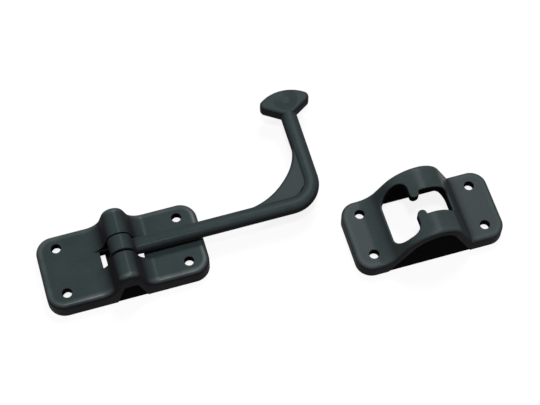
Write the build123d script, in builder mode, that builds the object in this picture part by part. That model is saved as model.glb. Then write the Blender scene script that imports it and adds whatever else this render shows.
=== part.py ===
from build123d import *
import os
from math import atan2, cos, radians, sin, tan

# A door holder with a swinging T-headed arm and a separate keeper plate.
# Frame: origin on the mounting face, in the middle of the hinge plate's screw holes.
# +X runs along the hinge plate and the arm's first leg, +Y along the hinge pin, +Z away
# from the mounting face. All lengths are in millimetres, all angles in degrees.

# Screw holes, the same in both plates
screw_hole_d = 4.7
hole_edge_break = 0.2

# Hinge plate
plate_length = 79.3
plate_width = 39.2
plate_edge_height = 8.85
plate_skin = 4.3
plate_skirt = 2.4
plate_corner = 8.4
plate_edge_round = 2.4
plate_hole_pitch_x = 59.5
plate_hole_pitch_y = 24.4
barrel_radius = 5.85
pin_height = 16.45
barrel_flank_angle = 71.0
barrel_foot_round = 7.5
slot_width = 10.2
window_length = 20.4
window_width = 9.0
saddle_foot = 15.4
saddle_top = 4.4
saddle_height = 9.2
tunnel_wall = 1.2
arch_foot = 14.8
arch_top = 6.4
arch_height = 13.0
arch_round = 2.0
end_recess = 0.4
end_wall = 1.3

# Pivot pin
pin_d = 4.0
pin_chamfer = 0.4
pin_end_gap = 1.0
blind_end = 4.0
pin_running_clearance = 0.06

# Holder arm
arm_reach = 101.6
arm_width = 8.2
arm_height = 6.8
arm_lift = 12.9
arm_side_shift = 0.4
arm_bend_radius = 12.5
arm_bend_angle = 89.4
knuckle_width = 8.4
knuckle_edge_round = 0.6
neck_offset = 5.0
neck_edge_round = 2.6
web_reach_x = 39.0
web_reach_y = 36.7
web_middle = 13.4
web_overlap = 3.2
web_thickness = 4.4
web_edge_round = 1.2
head_width = 25.1
head_root_width = 5.6
head_root = 49.2
head_shoulder = 55.6
head_side = 3.1
head_side_left = 0.1
head_tip = 63.4
head_thickness = 6.9
head_corner = 2.9
head_edge_round = 1.4

# Keeper plate
keeper_x = 143.95
keeper_y = -21.9
keeper_length = 74.4
keeper_width = 37.65
keeper_edge_height = 7.6
keeper_pad_skin = 4.3
hump_skin = 3.8
keeper_skirt = 2.0
keeper_corner = 8.0
keeper_edge_round = 1.5
keeper_hole_pitch_x = 56.4
keeper_hole_pitch_y = 22.5
keeper_end_recess = 0.4
keeper_end_wall = 1.3
hump_rise = 19.7
crest_x = 1.8
left_crest_radius = 20.0
right_crest_radius = 12.5
left_flank_angle = 55.5
right_flank_angle = 64.0
left_foot_round = 10.5
right_foot_round = 8.5

# Keyhole through the keeper's hump, with two nubs that the arm snaps past
keyhole_y = -0.3
mouth_x = -11.95
mouth_length = 11.9
mouth_span = 28.4
mouth_outer_corner = 5.8
mouth_inner_corner = 5.0
throat_width = 12.8
throat_end_x = 12.75
throat_corner = 2.6
nub_radius = 2.2
nub_gap = 7.2
nub_root_round = 0.55
keyhole_edge_round = 0.6

# Two points nearer than this are the same one
same_place = 0.01

os.makedirs("parts", exist_ok=True)


def outline_edges(part):
    """Edges round the outline of a plate's upper side, without the seams across it."""
    upright = part.edges().filter_by(Axis.Z)
    floor = part.edges().group_by(Axis.Z)[0]
    seams = part.edges().filter_by(Axis.Y).sort_by(Axis.X)[1:-1]
    return part.edges() - upright - floor - seams


def arch_sketch(plane, foot, top, height):
    """Arch-shaped section under the barrel, standing on the mounting face."""
    with BuildSketch(plane) as arch:
        with BuildLine():
            Polyline((-foot / 2, 0), (-top / 2, height), (top / 2, height), (foot / 2, 0), close=True)
        make_face()
        fillet(arch.vertices().group_by(Axis.Y)[-1], arch_round)
    return arch.sketch


# Hinge plate: a hollow moulding whose middle rises in a full-width barrel
barrel_top = pin_height + barrel_radius
touch_x = barrel_radius * sin(radians(barrel_flank_angle))
touch_z = pin_height + barrel_radius * cos(radians(barrel_flank_angle))
foot_x = touch_x + (touch_z - plate_edge_height) / tan(radians(barrel_flank_angle))

with BuildPart() as hinge_plate:
    with BuildSketch(Plane.XZ) as profile:
        with BuildLine():
            CenterArc((0, pin_height), barrel_radius, 90, barrel_flank_angle)
            Polyline(
                (-touch_x, touch_z),
                (-foot_x, plate_edge_height),
                (-plate_length / 2, plate_edge_height),
                (-plate_length / 2, 0),
                (0, 0),
            )
            mirror(about=Plane.YZ)
        make_face()
        feet = profile.vertices().filter_by(lambda v: abs(abs(v.X) - foot_x) < same_place)
        fillet(feet, barrel_foot_round)
    extrude(amount=plate_width / 2, both=True)
    with BuildSketch():
        RectangleRounded(plate_length, plate_width, plate_corner)
    extrude(amount=barrel_top, mode=Mode.INTERSECT)
    fillet(outline_edges(hinge_plate), plate_edge_round)
    # an arch shows as a shallow recess in the front and back faces
    for side in (-1, 1):
        end_arch = arch_sketch(Plane.XZ.offset(side * plate_width / 2), arch_foot, arch_top, arch_height)
        extrude(end_arch, amount=-side * end_recess, mode=Mode.SUBTRACT)
    # slot for the arm's knuckle, down to the pads, and the window under it
    with BuildSketch(Plane.XY.offset(plate_edge_height)):
        Rectangle(2 * (foot_x + barrel_foot_round), slot_width)
    extrude(amount=barrel_top, mode=Mode.SUBTRACT)
    with BuildSketch():
        Rectangle(window_length, window_width)
    extrude(amount=barrel_top, mode=Mode.SUBTRACT)
    # saddle that crosses the window under the knuckle
    saddle = arch_sketch(Plane.XZ, saddle_foot, saddle_top, saddle_height)
    extrude(saddle, amount=slot_width / 2, both=True)
    # hollow underside, open to the mounting face: a pocket in each pad and a tunnel between them
    with BuildSketch():
        inner_corner = plate_corner - plate_skirt
        RectangleRounded(plate_length - 2 * plate_skirt, plate_width - 2 * plate_skirt, inner_corner)
        Rectangle(saddle_foot, plate_width, mode=Mode.SUBTRACT)
    extrude(amount=plate_edge_height - plate_skin, mode=Mode.SUBTRACT)
    tunnel = arch_sketch(
        Plane.XZ, saddle_foot - 2 * tunnel_wall, saddle_top - tunnel_wall, saddle_height - tunnel_wall
    )
    tunnel_half = plate_width / 2 - end_recess - end_wall
    extrude(tunnel, amount=tunnel_half, both=True, mode=Mode.SUBTRACT)
    # pin bore, blind at the front
    with BuildSketch(Plane.XZ.offset(-plate_width / 2)):
        with Locations((0, pin_height)):
            Circle(pin_d / 2)
    extrude(amount=plate_width - blind_end, mode=Mode.SUBTRACT)
    with Locations((0, 0, plate_edge_height)):
        with GridLocations(plate_hole_pitch_x, plate_hole_pitch_y, 2, 2):
            CounterSinkHole(screw_hole_d / 2, screw_hole_d / 2 + hole_edge_break, counter_sink_angle=90)
hinge_plate.part.label = "hinge_plate"
export_step(hinge_plate.part, "parts/hinge_plate.step")

# Pivot pin, driven in from the back and hidden in the barrel
pin_back = plate_width / 2 - pin_end_gap
pin_front = -plate_width / 2 + blind_end
with BuildPart() as pivot_pin:
    with BuildSketch(Plane.XZ.offset(-pin_back)):
        with Locations((0, pin_height)):
            Circle(pin_d / 2)
    extrude(amount=pin_back - pin_front)
    chamfer(pivot_pin.edges().filter_by(GeomType.CIRCLE), pin_chamfer)
pivot_pin.part.label = "pivot_pin"
export_step(pivot_pin.part, "parts/pivot_pin.step")

# Holder arm, lying along the hinge plate with its T head in the plane of the bend
leg_x = arm_reach - arm_width / 2
bend_x = leg_x - arm_bend_radius
bend_y = arm_side_shift + arm_bend_radius
lean = radians(90 - arm_bend_angle)
bend_middle = Plane((bend_x, bend_y, arm_lift), x_dir=(cos(lean), -sin(lean), 0), z_dir=(0, 0, 1))
legs_meet = bend_middle.from_local_coords((arm_bend_radius, -arm_bend_radius, 0))
second_leg = Plane(legs_meet, x_dir=bend_middle.x_dir, z_dir=(0, 0, 1))
bend_end = second_leg.from_local_coords((0, arm_bend_radius, 0))

# T head: a flat fan that flares from the rod to two rounded ends
# each side edge is shared by two rounds, so its length limits them
flare_angle = atan2(head_shoulder - head_root, (head_width - head_root_width) / 2)
tip_angle = 2 * atan2(head_tip - head_shoulder - head_side, head_width / 2)
edge_per_round = tan((radians(90) - flare_angle) / 2) + tan((radians(90) - tip_angle) / 2)
head_round = min(head_corner, (head_side - head_side_left) / edge_per_round)

with BuildPart() as arm_head:
    with BuildSketch(second_leg) as fan:
        with BuildLine():
            left_top = (-head_width / 2, head_shoulder + head_side)
            right_top = (head_width / 2, head_shoulder + head_side)
            Polyline(
                left_top,
                (-head_width / 2, head_shoulder),
                (-head_root_width / 2, head_root),
                (head_root_width / 2, head_root),
                (head_width / 2, head_shoulder),
                right_top,
            )
            ThreePointArc(left_top, (0, head_tip), right_top)
        make_face()
        fillet(fan.vertices().filter_by(lambda v: abs(v.X) > head_root_width), head_round)
    extrude(amount=head_thickness / 2, both=True)
    fillet(arm_head.faces().filter_by(Axis.Z).edges(), head_edge_round)

# thin web across the inside of the bend, whose free edge runs out along both legs
with BuildPart() as arm_web:
    with BuildSketch(Plane.XY.offset(arm_lift)):
        with BuildLine():
            web_start = (leg_x - web_reach_x, arm_side_shift + web_overlap)
            web_end = (leg_x - web_overlap, arm_side_shift + web_reach_y)
            free_middle = (leg_x - web_middle, arm_side_shift + web_middle)
            Spline(web_start, free_middle, web_end, tangents=((1, 0), (0, 1)))
            Polyline(
                web_end,
                (leg_x, arm_side_shift + web_reach_y),
                (leg_x, bend_y),
                (bend_x, arm_side_shift),
                (leg_x - web_reach_x, arm_side_shift),
                web_start,
            )
        make_face()
    extrude(amount=web_thickness / 2, both=True)
    fillet(arm_web.edges().filter_by(GeomType.BSPLINE), web_edge_round)

# neck that drops from the knuckle to the rod
with BuildPart() as arm_neck:
    with BuildSketch(Plane.XZ.offset(-arm_side_shift)):
        with Locations((0, pin_height)):
            Circle(barrel_radius)
        with Locations((neck_offset, arm_lift)):
            Circle(arm_height / 2)
        make_hull()
    extrude(amount=arm_width / 2, both=True)
    fillet(arm_neck.faces().filter_by(Axis.Y).edges(), neck_edge_round)

with BuildPart() as holder_arm:
    # knuckle round the pin
    with BuildSketch(Plane.XZ.offset(-arm_side_shift)):
        with Locations((0, pin_height)):
            Circle(barrel_radius)
    extrude(amount=knuckle_width / 2, both=True)
    fillet(holder_arm.edges().filter_by(GeomType.CIRCLE), knuckle_edge_round)
    add(arm_neck.part)
    # oval rod along the first leg, round the bend and up the second leg
    with BuildSketch(Plane((neck_offset, arm_side_shift, arm_lift), x_dir=(0, 1, 0), z_dir=(1, 0, 0))):
        SlotOverall(arm_width, arm_height)
    extrude(amount=bend_x - neck_offset)
    with BuildSketch(Plane((bend_x, arm_side_shift, arm_lift), x_dir=(0, 1, 0), z_dir=(1, 0, 0))):
        SlotOverall(arm_width, arm_height)
    revolve(axis=Axis((bend_x, bend_y, 0), (0, 0, 1)), revolution_arc=arm_bend_angle)
    with BuildSketch(Plane(bend_end, x_dir=second_leg.x_dir, z_dir=second_leg.y_dir)):
        SlotOverall(arm_width, arm_height)
    extrude(amount=head_shoulder - arm_bend_radius)
    add(arm_web.part)
    add(arm_head.part)
    # bore for the pin
    with BuildSketch(Plane.XZ.offset(-arm_side_shift)):
        with Locations((0, pin_height)):
            Circle(pin_d / 2 + pin_running_clearance)
    extrude(amount=knuckle_width, both=True, mode=Mode.SUBTRACT)
holder_arm.part.label = "holder_arm"
export_step(holder_arm.part, "parts/holder_arm.step")

# Keeper plate: a hollow hump, gentle on the arm's side and steep on the other
keeper_floor = Plane((keeper_x, keeper_y, 0))
keyhole_floor = Plane((keeper_x, keeper_y + keyhole_y, 0))
keeper_middle = Plane((keeper_x, keeper_y, 0), x_dir=(1, 0, 0), z_dir=(0, -1, 0))


def hump_sketch(plane, inset, to_floor):
    """Section along the keeper, inset from its outer skin; flanks run to the floor if asked."""
    base = keeper_edge_height - inset
    foot_z = 0 if to_floor else base
    crest_z = keeper_edge_height + hump_rise - inset
    left_r = left_crest_radius - inset
    right_r = right_crest_radius - inset
    left_a = radians(left_flank_angle)
    right_a = radians(right_flank_angle)
    left_x = crest_x - left_r * sin(left_a)
    left_z = crest_z - left_r + left_r * cos(left_a)
    right_x = crest_x + right_r * sin(right_a)
    right_z = crest_z - right_r + right_r * cos(right_a)
    left_foot = left_x - (left_z - foot_z) / tan(left_a)
    right_foot = right_x + (right_z - foot_z) / tan(right_a)
    with BuildSketch(plane) as section:
        with BuildLine():
            CenterArc((crest_x, crest_z - left_r), left_r, 90, left_flank_angle)
            CenterArc((crest_x, crest_z - right_r), right_r, 90, -right_flank_angle)
            Line((left_x, left_z), (left_foot, foot_z))
            Line((right_x, right_z), (right_foot, foot_z))
            if to_floor:
                Line((left_foot, 0), (right_foot, 0))
            else:
                half = keeper_length / 2
                Polyline((left_foot, base), (-half, base), (-half, 0), (half, 0), (half, base),
                         (right_foot, base))
        make_face()
        if not to_floor:
            feet = section.vertices().filter_by(
                lambda v: abs(v.Y - base) < same_place and abs(v.X) < half - same_place
            )
            fillet(feet.sort_by(Axis.X)[0], left_foot_round + inset)
            fillet(feet.sort_by(Axis.X)[-1], right_foot_round + inset)
    return section.sketch


def keyhole(plane):
    """Plan of the keyhole: a wide mouth, a narrower throat and a nub on each side between them."""
    throat_length = throat_end_x - mouth_x
    nub_x = mouth_x + mouth_length / 2 + nub_radius
    nub_tip = nub_gap / 2 + nub_radius
    with BuildSketch(plane) as plan:
        with Locations((mouth_x, 0)):
            Rectangle(mouth_length, mouth_span)
        fillet(plan.vertices().group_by(Axis.X)[0], mouth_outer_corner)
        fillet(plan.vertices().group_by(Axis.X)[-1], mouth_inner_corner)
        with Locations((mouth_x + throat_length / 2, 0)):
            Rectangle(throat_length, throat_width)
        fillet(plan.vertices().group_by(Axis.X)[-1], throat_corner)
        for side in (-1, 1):
            with Locations((nub_x, side * nub_tip)):
                Circle(nub_radius, mode=Mode.SUBTRACT)
            with Locations((nub_x, side * (nub_tip + nub_radius / 2))):
                Rectangle(2 * nub_radius, nub_radius, mode=Mode.SUBTRACT)
        roots = plan.vertices().filter_by(
            lambda v: abs(v.X - nub_x - nub_radius) < same_place
            and abs(abs(v.Y) - throat_width / 2) < same_place
        )
        fillet(roots, nub_root_round)
    return plan.sketch


with BuildPart() as keeper:
    extrude(hump_sketch(keeper_middle, 0, False), amount=keeper_width / 2, both=True)
    with BuildSketch(keeper_floor):
        RectangleRounded(keeper_length, keeper_width, keeper_corner)
    extrude(amount=keeper_edge_height + hump_rise, mode=Mode.INTERSECT)
    fillet(outline_edges(keeper), keeper_edge_round)
    extrude(keyhole(keyhole_floor), amount=keeper_edge_height + hump_rise, mode=Mode.SUBTRACT)
    keyhole_rim = keeper.edges(Select.LAST).filter_by(
        lambda edge: edge.center().Z > keeper_edge_height
    )
    fillet(keyhole_rim - keyhole_rim.filter_by(Axis.Z), keyhole_edge_round)
    # hollow underside, open to the mounting face
    with BuildSketch(keeper_floor):
        inner_corner = keeper_corner - keeper_skirt
        RectangleRounded(
            keeper_length - 2 * keeper_skirt, keeper_width - 2 * keeper_skirt, inner_corner
        )
    extrude(amount=keeper_edge_height - keeper_pad_skin, mode=Mode.SUBTRACT)
    hollow = hump_sketch(keeper_middle, hump_skin, True)
    hollow_half = keeper_width / 2 - keeper_end_recess - keeper_end_wall
    extrude(hollow, amount=hollow_half, both=True, mode=Mode.SUBTRACT)
    # the hollow shows as a shallow recess in the front and back faces
    for side in (-1, 1):
        end_arch = hump_sketch(keeper_middle.offset(side * keeper_width / 2), hump_skin, True)
        extrude(end_arch, amount=-side * keeper_end_recess, mode=Mode.SUBTRACT)
    with Locations((keeper_x, keeper_y, keeper_edge_height)):
        with GridLocations(keeper_hole_pitch_x, keeper_hole_pitch_y, 2, 2):
            CounterSinkHole(screw_hole_d / 2, screw_hole_d / 2 + hole_edge_break, counter_sink_angle=90)
keeper.part.label = "keeper"
export_step(keeper.part, "parts/keeper.step")
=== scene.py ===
"""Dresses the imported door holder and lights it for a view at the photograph's angle. Metres, Z up."""
from math import cos, radians, sin

import bpy
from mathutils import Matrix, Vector

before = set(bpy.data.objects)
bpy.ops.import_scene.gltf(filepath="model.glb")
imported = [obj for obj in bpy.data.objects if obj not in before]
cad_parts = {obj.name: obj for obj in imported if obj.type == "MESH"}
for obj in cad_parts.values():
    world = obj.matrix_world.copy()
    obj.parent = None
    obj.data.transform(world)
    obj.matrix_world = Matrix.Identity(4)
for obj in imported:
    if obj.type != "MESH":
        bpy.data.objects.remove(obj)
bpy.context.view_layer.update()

# Camera, as fitted to the screw holes of both plates
target = Vector((0.07405, 0.00172, 0.01943))
distance = 0.71636
azimuth = radians(-16.47)
elevation = radians(61.235)
lens_mm = 99.79
sensor_mm = 36.0

# Light on an upward face: shares of the level at which a colour renders as it is written
LEVEL = 9.87
world_share = 0.07
# Square lamps aimed at the target: name, place, side length and share
lamps = (
    ("main_softbox", (0.02, -0.2, 1.15), 0.12, 0.48),
    ("right_softbox", (0.36, 0.52, 1.08), 0.30, 0.40),
    ("left_softbox", (-0.45, 0.1, 1.0), 0.5, 0.06),
)
# Floor: the grey that bounces light onto the object, and the glow and grey that are seen
floor_size = 8.0
floor_bounce = 0.12
floor_glow = 0.88
floor_shade = 0.14

# Plastic: pairs of colours for its upward faces, the keeper's pair lighter as a painted sheen; then
# painted shade for its side walls and near-black painted shade for its hidden walls
dark_tops = ((0.031, 0.046, 0.0465, 1.0), (0.038, 0.053, 0.0535, 1.0))
# The keeper's pair is the same plastic made lighter as a painted sheen
keeper_tops_painted_sheen = ((0.039, 0.053, 0.0545, 1.0), (0.046, 0.060, 0.0615, 1.0))
painted_wall_shade = (0.0165, 0.0165, 0.0195, 1.0)
painted_recess_shade = (0.003, 0.0024, 0.003, 1.0)
# Upward parts of the normal over which the painted wall shade gives way to the top colour
hinge_shade_slopes = (0.50, 0.96)
arm_shade_slopes = (0.42, 0.97)
keeper_shade_slopes = (0.20, 0.84)
# Corners within this reach of another face get the painted wall shade, between these amounts of open sky
corner_reach = 0.005
open_range = (0.70, 0.99)

# Clouds and flecks of colour: cycles per metre, detail and share, and where the two colours meet
cloud_scale, cloud_detail, cloud_share = 90.0, 3.0, 0.7
fleck_scale, fleck_detail, fleck_share = 700.0, 2.0, 0.3
patch_range = (0.38, 0.62)
# Grain of the mould, as a bump
grain_scale, grain_detail, grain_roughness = 2600.0, 3.0, 0.6
grain_strength = 0.25
grain_depth = 0.00006

# Gloss: the range on tops, what a wall adds, and how much of a top ends that addition
top_roughness = (0.23, 0.30)
wall_roughness = 0.32
wall_fade = 0.6
specular_level = 0.025
# The clouds vary the gloss over this range of theirs
gloss_clouds = (0.3, 0.7)

# Plates: corner radius, and a rim polished by use, worn unevenly by the same clouds
plate_corner = 0.0082
rim_width = 0.0036
hinge_polish = 0.7
keeper_polish = 0.1
coat_roughness = 0.42
worn_clouds = (0.40, 0.60)
worn_polish = (0.6, 1.0)
# End panels, painted near-black as shade, are sunk by this much and face along Y by at least this part of
# the normal
end_recess = 0.0004
end_facing = 0.99
# Walls and undersides that lie this far inside a plate's outline get the same near-black painted shade as
# its end panels
hollow_depth = 0.0015
hollow_z = 0.2

# Shallow dish in the top of the T head
dish_middle = (0.0985, 0.0575, 0.01635)
dish_radius = 0.0062
dish_depth = 0.0006

# Pin: bright steel with lines drawn out along Y
pin_colour = (0.42, 0.42, 0.43, 1.0)
pin_roughness = (0.28, 0.42)
line_scale, line_detail = 9000.0, 2.0
line_stretch = (1.0, 0.02, 1.0)
line_range = (0.3, 0.7)
line_strength = 0.2
line_depth = 0.00002


def connect(tree, socket, value):
    """Links an output to an input socket, or sets the socket to a plain value."""
    if isinstance(value, bpy.types.NodeSocket):
        tree.links.new(value, socket)
    else:
        socket.default_value = value


def node(tree, kind, **inputs):
    """Adds a shader node and sets its named inputs to values or links."""
    made = tree.nodes.new(kind)
    for name, value in inputs.items():
        connect(tree, made.inputs[name.replace("_", " ")], value)
    return made


def new_material(name):
    """An empty node material with its output."""
    material = bpy.data.materials.new(name)
    material.use_nodes = True
    material.node_tree.nodes.clear()
    output = material.node_tree.nodes.new("ShaderNodeOutputMaterial")
    return material, material.node_tree, output


def grey(value):
    """A neutral colour."""
    return (value, value, value, 1.0)


def noise(tree, place, scale, detail, roughness=0.5):
    """Fractal noise at a scale given in cycles per metre."""
    made = node(tree, "ShaderNodeTexNoise", Vector=place, Scale=scale, Detail=detail, Roughness=roughness)
    return made.outputs["Fac"]


def ramp(tree, value, low, high, start, end):
    """Maps a value between low and high onto start to end, clamped."""
    made = node(tree, "ShaderNodeMapRange", Value=value)
    made.inputs["From Min"].default_value = low
    made.inputs["From Max"].default_value = high
    made.inputs["To Min"].default_value = start
    made.inputs["To Max"].default_value = end
    return made.outputs["Result"]


def mix_colour(tree, factor, first, second):
    """Mixes two colours or links by a factor, through the Mix node's colour sockets."""
    made = tree.nodes.new("ShaderNodeMix")
    made.data_type = "RGBA"
    for index, value in ((0, factor), (6, first), (7, second)):
        connect(tree, made.inputs[index], value)
    return made.outputs[2]


def maths(tree, operation, first, second=0.0):
    """A Math node's result for two values or links."""
    made = tree.nodes.new("ShaderNodeMath")
    made.operation = operation
    for socket, value in zip(made.inputs, (first, second)):
        connect(tree, socket, value)
    return made.outputs[0]


def box_of(name):
    """Middle and half size of a CAD node's box."""
    corners = [Vector(corner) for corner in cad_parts[name].bound_box]
    low = Vector([min(corner[axis] for corner in corners) for axis in range(3)])
    high = Vector([max(corner[axis] for corner in corners) for axis in range(3)])
    return (low + high) / 2, (high - low) / 2


def past_sides(tree, place, plate):
    """How far a point lies past the sides of a plate's box, along X and along Y, negative inside."""
    middle, half = box_of(plate)
    parts = node(tree, "ShaderNodeSeparateXYZ", Vector=place)
    beyond = []
    for axis in range(2):
        offset = maths(tree, "ABSOLUTE", maths(tree, "SUBTRACT", parts.outputs[axis], middle[axis]))
        beyond.append(maths(tree, "SUBTRACT", offset, half[axis]))
    return beyond


def past_outline(tree, beyond):
    """Distance past a plate's rounded outline, negative inside it."""
    grown = tree.nodes.new("ShaderNodeCombineXYZ")
    for axis in range(2):
        past_straight = maths(tree, "ADD", beyond[axis], plate_corner)
        tree.links.new(maths(tree, "MAXIMUM", past_straight, 0.0), grown.inputs[axis])
    reach = tree.nodes.new("ShaderNodeVectorMath")
    reach.operation = "LENGTH"
    tree.links.new(grown.outputs[0], reach.inputs[0])
    return maths(tree, "SUBTRACT", reach.outputs["Value"], plate_corner)


def painted_hidden_shade_mask(tree, beyond, past, facing):
    """1 where a plate gets near-black painted shade: on its sunk end panels and on walls and undersides
    inside its outline, else 0.
    """
    sunk = maths(tree, "COMPARE", beyond[1], -end_recess)
    tolerance = sunk.node.inputs[2]
    tolerance.default_value = end_recess / 4
    flat = maths(tree, "GREATER_THAN", maths(tree, "ABSOLUTE", facing.outputs["Y"]), end_facing)
    inside = maths(tree, "LESS_THAN", past, -hollow_depth)
    not_upward = maths(tree, "LESS_THAN", facing.outputs["Z"], hollow_z)
    hollow = maths(tree, "MULTIPLY", inside, not_upward)
    return maths(tree, "MAXIMUM", maths(tree, "MULTIPLY", sunk, flat), hollow)


def dished_normal(tree, place, middle):
    """The surface's normal with a shallow dish round a middle."""
    away = tree.nodes.new("ShaderNodeVectorMath")
    away.operation = "DISTANCE"
    tree.links.new(place, away.inputs[0])
    away.inputs[1].default_value = middle
    height = ramp(tree, away.outputs["Value"], dish_radius / 3, dish_radius, 0.0, 1.0)
    dish = node(tree, "ShaderNodeBump", Strength=1.0, Distance=dish_depth, Height=height)
    return dish.outputs["Normal"]


def black_plastic(name, tops, shade_slopes, plate=None, polish=0.0, dish=None):
    """Satin moulded plastic, a green-grey black: painted shade on side walls, in corners and on a plate's
    hidden walls, a plate's rim polished by use.
    """
    material, tree, output = new_material(name)
    coords = tree.nodes.new("ShaderNodeTexCoord")
    place = coords.outputs["Object"]
    facing = node(tree, "ShaderNodeSeparateXYZ", Vector=coords.outputs["Normal"])
    cloud = noise(tree, place, cloud_scale, cloud_detail)
    fleck = noise(tree, place, fleck_scale, fleck_detail)
    grain = noise(tree, place, grain_scale, grain_detail, grain_roughness)
    cloud_part = maths(tree, "MULTIPLY", cloud, cloud_share)
    fleck_part = maths(tree, "MULTIPLY", fleck, fleck_share)
    patchy = maths(tree, "ADD", cloud_part, fleck_part)
    colour = mix_colour(tree, ramp(tree, patchy, *patch_range, 0.0, 1.0), *tops)
    # Painted shade in corners: less open sky within reach darkens the colour towards the wall shade
    nearby = node(tree, "ShaderNodeAmbientOcclusion", Distance=corner_reach)
    nearby.only_local = True
    open_sky_vs_corner_shade = ramp(tree, nearby.outputs["AO"], *open_range, 0.0, 1.0)
    # The arm turns over, so its upper and under sides are treated alike
    steep = facing.outputs["Z"] if plate else maths(tree, "ABSOLUTE", facing.outputs["Z"])
    top_vs_painted_shade = maths(tree, "MULTIPLY", ramp(tree, steep, *shade_slopes, 0.0, 1.0), open_sky_vs_corner_shade)
    # Painted shade: faces turned away from up, and corners near other faces, take the dark wall colour
    colour = mix_colour(tree, top_vs_painted_shade, painted_wall_shade, colour)
    roughness = ramp(tree, cloud, *gloss_clouds, *top_roughness)
    roughness = maths(tree, "ADD", roughness, ramp(tree, top_vs_painted_shade, 0.0, wall_fade, wall_roughness, 0.0))
    coat = 0.0
    if plate:
        beyond = past_sides(tree, place, plate)
        past = past_outline(tree, beyond)
        rim = ramp(tree, past, -rim_width, -rim_width / 2, 0.0, polish)
        worn = ramp(tree, cloud, *worn_clouds, *worn_polish)
        coat = maths(tree, "MULTIPLY", maths(tree, "MULTIPLY", rim, top_vs_painted_shade), worn)
        # Near-black painted shade on a plate's sunk end panels and hidden walls
        painted_hidden_shade = painted_hidden_shade_mask(tree, beyond, past, facing)
        colour = mix_colour(tree, painted_hidden_shade, colour, painted_recess_shade)
        roughness = maths(tree, "MAXIMUM", roughness, painted_hidden_shade)
    bump = node(tree, "ShaderNodeBump", Strength=grain_strength, Distance=grain_depth, Height=grain)
    if dish:
        tree.links.new(dished_normal(tree, place, dish), bump.inputs["Normal"])
    shader = node(tree, "ShaderNodeBsdfPrincipled", Base_Color=colour, Roughness=roughness,
                  Specular_IOR_Level=specular_level, Coat_Weight=coat, Coat_Roughness=coat_roughness,
                  Normal=bump.outputs["Normal"])
    tree.links.new(shader.outputs["BSDF"], output.inputs["Surface"])
    return material


def pin_steel():
    """Drawn steel wire with fine lines along its length."""
    material, tree, output = new_material("pin_steel")
    place = tree.nodes.new("ShaderNodeTexCoord").outputs["Object"]
    stretched = node(tree, "ShaderNodeMapping", Vector=place, Scale=line_stretch)
    lines = noise(tree, stretched.outputs["Vector"], line_scale, line_detail)
    roughness = ramp(tree, lines, *line_range, *pin_roughness)
    bump = node(tree, "ShaderNodeBump", Strength=line_strength, Distance=line_depth, Height=lines)
    shader = node(tree, "ShaderNodeBsdfPrincipled", Base_Color=pin_colour, Metallic=1.0,
                  Roughness=roughness, Normal=bump.outputs["Normal"])
    tree.links.new(shader.outputs["BSDF"], output.inputs["Surface"])
    return material


def seen_directly(tree):
    """1 where a camera, glossy or transmission ray looks, else 0."""
    path = tree.nodes.new("ShaderNodeLightPath")
    either = maths(tree, "MAXIMUM", path.outputs["Is Camera Ray"], path.outputs["Is Glossy Ray"])
    return maths(tree, "MAXIMUM", either, path.outputs["Is Transmission Ray"])


def show_or_light(tree, lighting, shown, surface):
    """Gives a surface one shader for the light that it sends out and another for what is seen."""
    choice = tree.nodes.new("ShaderNodeMixShader")
    tree.links.new(seen_directly(tree), choice.inputs[0])
    tree.links.new(lighting.outputs[0], choice.inputs[1])
    tree.links.new(shown.outputs[0], choice.inputs[2])
    tree.links.new(choice.outputs[0], surface)


def add_floor():
    """A pale floor that shows white and keeps a light shadow."""
    bpy.ops.mesh.primitive_plane_add(size=floor_size)
    floor = bpy.context.object
    floor.name = "floor"
    material, tree, output = new_material("floor")
    bounce = node(tree, "ShaderNodeBsdfDiffuse", Color=grey(floor_bounce))
    shade = node(tree, "ShaderNodeBsdfDiffuse", Color=grey(floor_shade))
    glow = node(tree, "ShaderNodeEmission", Strength=floor_glow)
    shown = tree.nodes.new("ShaderNodeAddShader")
    tree.links.new(shade.outputs[0], shown.inputs[0])
    tree.links.new(glow.outputs[0], shown.inputs[1])
    show_or_light(tree, bounce, shown, output.inputs["Surface"])
    floor.data.materials.append(material)


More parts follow.
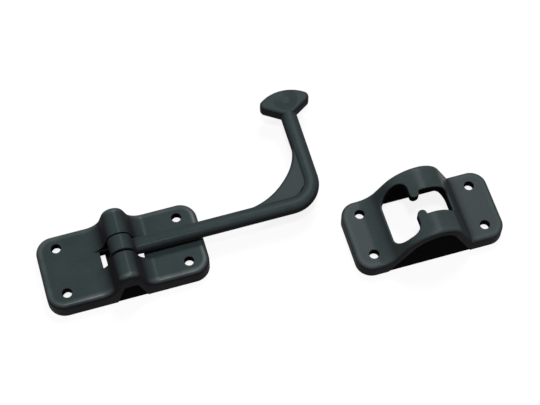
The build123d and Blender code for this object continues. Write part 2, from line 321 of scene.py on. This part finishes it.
def set_world():
    """Even light from all round, with a white background behind the floor's edge."""
    world = bpy.data.worlds.new("studio")
    bpy.context.scene.world = world
    world.use_nodes = True
    tree = world.node_tree
    tree.nodes.clear()
    light = node(tree, "ShaderNodeBackground", Color=grey(1.0), Strength=world_share)
    white = node(tree, "ShaderNodeBackground", Color=grey(1.0), Strength=1.0)
    output = tree.nodes.new("ShaderNodeOutputWorld")
    show_or_light(tree, light, white, output.inputs["Surface"])


def add_aimed(name, data, place, back):
    """Adds a lamp or camera at a place, with its rear along the direction given."""
    holder = bpy.data.objects.new(name, data)
    bpy.context.scene.collection.objects.link(holder)
    holder.location = place
    holder.rotation_euler = back.to_track_quat("Z", "Y").to_euler()
    return holder


def add_lamp(name, place, size, share):
    """A square soft lamp that gives its share of the level on an upward face at the target."""
    lamp = bpy.data.lights.new(name, "AREA")
    lamp.shape = "SQUARE"
    lamp.size = size
    reach = Vector(place) - target
    lamp.energy = LEVEL * share * reach.length_squared / (reach.z / reach.length)
    add_aimed(name, lamp, place, reach)


def add_camera():
    """The camera at the photograph's viewing angle."""
    camera = bpy.data.cameras.new("camera")
    camera.lens = lens_mm
    camera.sensor_width = sensor_mm
    in_plan = cos(elevation)
    back = Vector((sin(azimuth) * in_plan, -cos(azimuth) * in_plan, sin(elevation)))
    bpy.context.scene.camera = add_aimed("camera", camera, target + back * distance, back)


def dress(name, material):
    """Gives a CAD node its material."""
    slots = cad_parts[name].data.materials
    slots.clear()
    slots.append(material)


hinge_plastic = black_plastic("black_plastic_hinge", dark_tops, hinge_shade_slopes, "hinge_plate", hinge_polish)
arm_plastic = black_plastic("black_plastic_arm", dark_tops, arm_shade_slopes, dish=dish_middle)
keeper_plastic = black_plastic("black_plastic_keeper", keeper_tops_painted_sheen, keeper_shade_slopes, "keeper", keeper_polish)
dress("hinge_plate", hinge_plastic)
dress("holder_arm", arm_plastic)
dress("keeper", keeper_plastic)
dress("pivot_pin", pin_steel())

add_floor()
set_world()
for lamp_line in lamps:
    add_lamp(*lamp_line)
add_camera()
bpy.context.scene.view_settings.view_transform = "Standard"
